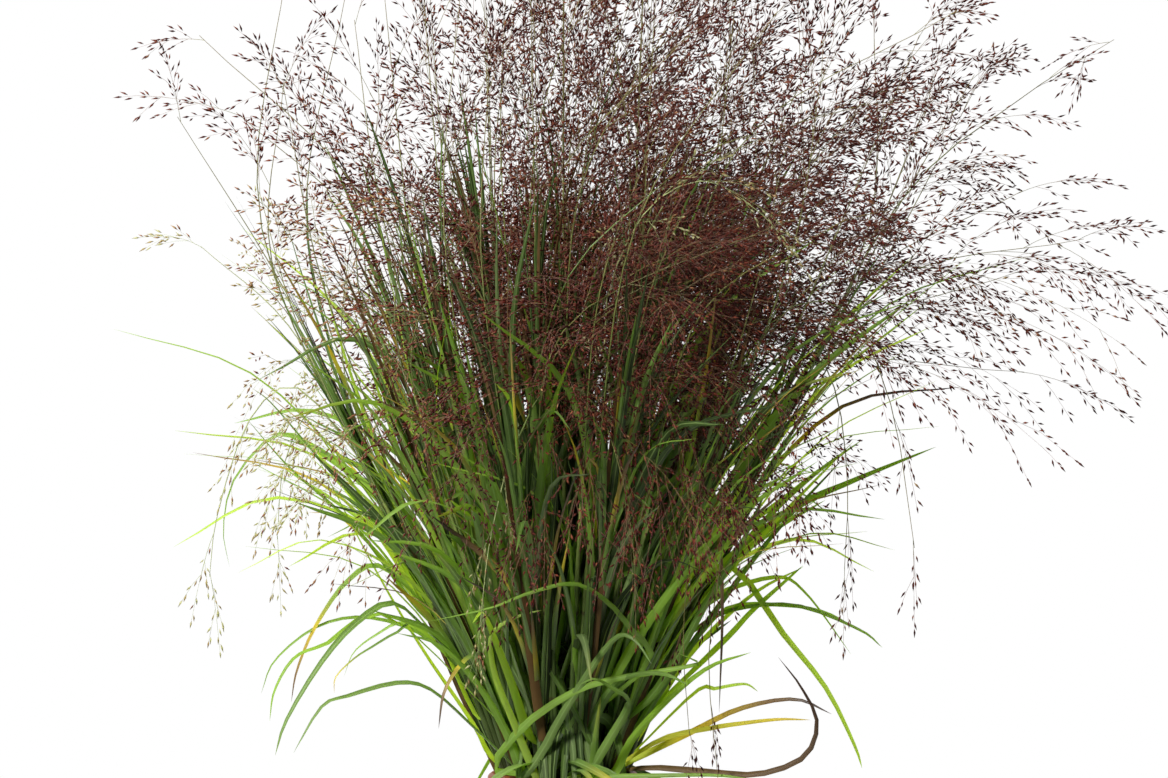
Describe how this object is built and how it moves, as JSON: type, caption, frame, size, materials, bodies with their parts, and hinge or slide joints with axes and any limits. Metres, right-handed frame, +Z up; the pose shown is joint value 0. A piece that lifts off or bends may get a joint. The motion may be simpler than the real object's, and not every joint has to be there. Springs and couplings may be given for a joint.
{
  "type": "potted switchgrass clump",
  "caption": "A dense upright clump of flowering switchgrass: arching green blades under an airy purple crown of panicles, in a plain brown glazed pot.",
  "frame": {"origin": "centre of the pot's flat base, on the surface that it stands on", "axes": "+Z up, +X along the crown's widest spread, +Y away from the front"},
  "size_m": [0.681, 0.5838, 0.6719],
  "materials": {
    "glaze": "gloss",
    "potting_soil": "matte",
    "blade": "satin",
    "spikelet": "matte"
  },
  "bodies": {
    "root": {"pot": "glaze", "potting_soil": "potting_soil", "leafy_stem_01": "blade", "panicle_01": "spikelet", "leafy_stem_02": "blade", "panicle_02": "spikelet", "leafy_stem_03": "blade", "panicle_03": "spikelet", "leafy_stem_04": "blade", "panicle_04": "spikelet", "leafy_stem_05": "blade", "panicle_05": "spikelet", "leafy_stem_06": "blade", "panicle_06": "spikelet", "leafy_stem_07": "blade", "panicle_07": "spikelet", "leafy_stem_08": "blade", "panicle_08": "spikelet", "leafy_stem_09": "blade", "panicle_09": "spikelet", "leafy_stem_10": "blade", "panicle_10": "spikelet", "leafy_stem_11": "blade", "panicle_11": "spikelet", "leafy_stem_12": "blade", "panicle_12": "spikelet", "leafy_stem_13": "blade", "panicle_13": "spikelet", "leafy_stem_14": "blade", "panicle_14": "spikelet", "leafy_stem_15": "blade", "panicle_15": "spikelet", "leafy_stem_16": "blade", "panicle_16": "spikelet", "leafy_stem_17": "blade", "panicle_17": "spikelet", "leafy_stem_18": "blade", "panicle_18": "spikelet", "leafy_stem_19": "blade", "panicle_19": "spikelet", "leafy_stem_20": "blade", "panicle_20": "spikelet", "leafy_stem_21": "blade", "panicle_21": "spikelet", "leafy_stem_22": "blade", "panicle_22": "spikelet", "leafy_stem_23": "blade", "panicle_23": "spikelet", "leafy_stem_24": "blade", "panicle_24": "spikelet", "leafy_stem_25": "blade", "panicle_25": "spikelet", "leafy_stem_26": "blade", "panicle_26": "spikelet", "leafy_stem_27": "blade", "panicle_27": "spikelet", "leafy_stem_28": "blade", "panicle_28": "spikelet"}
  },
  "joints": []
}
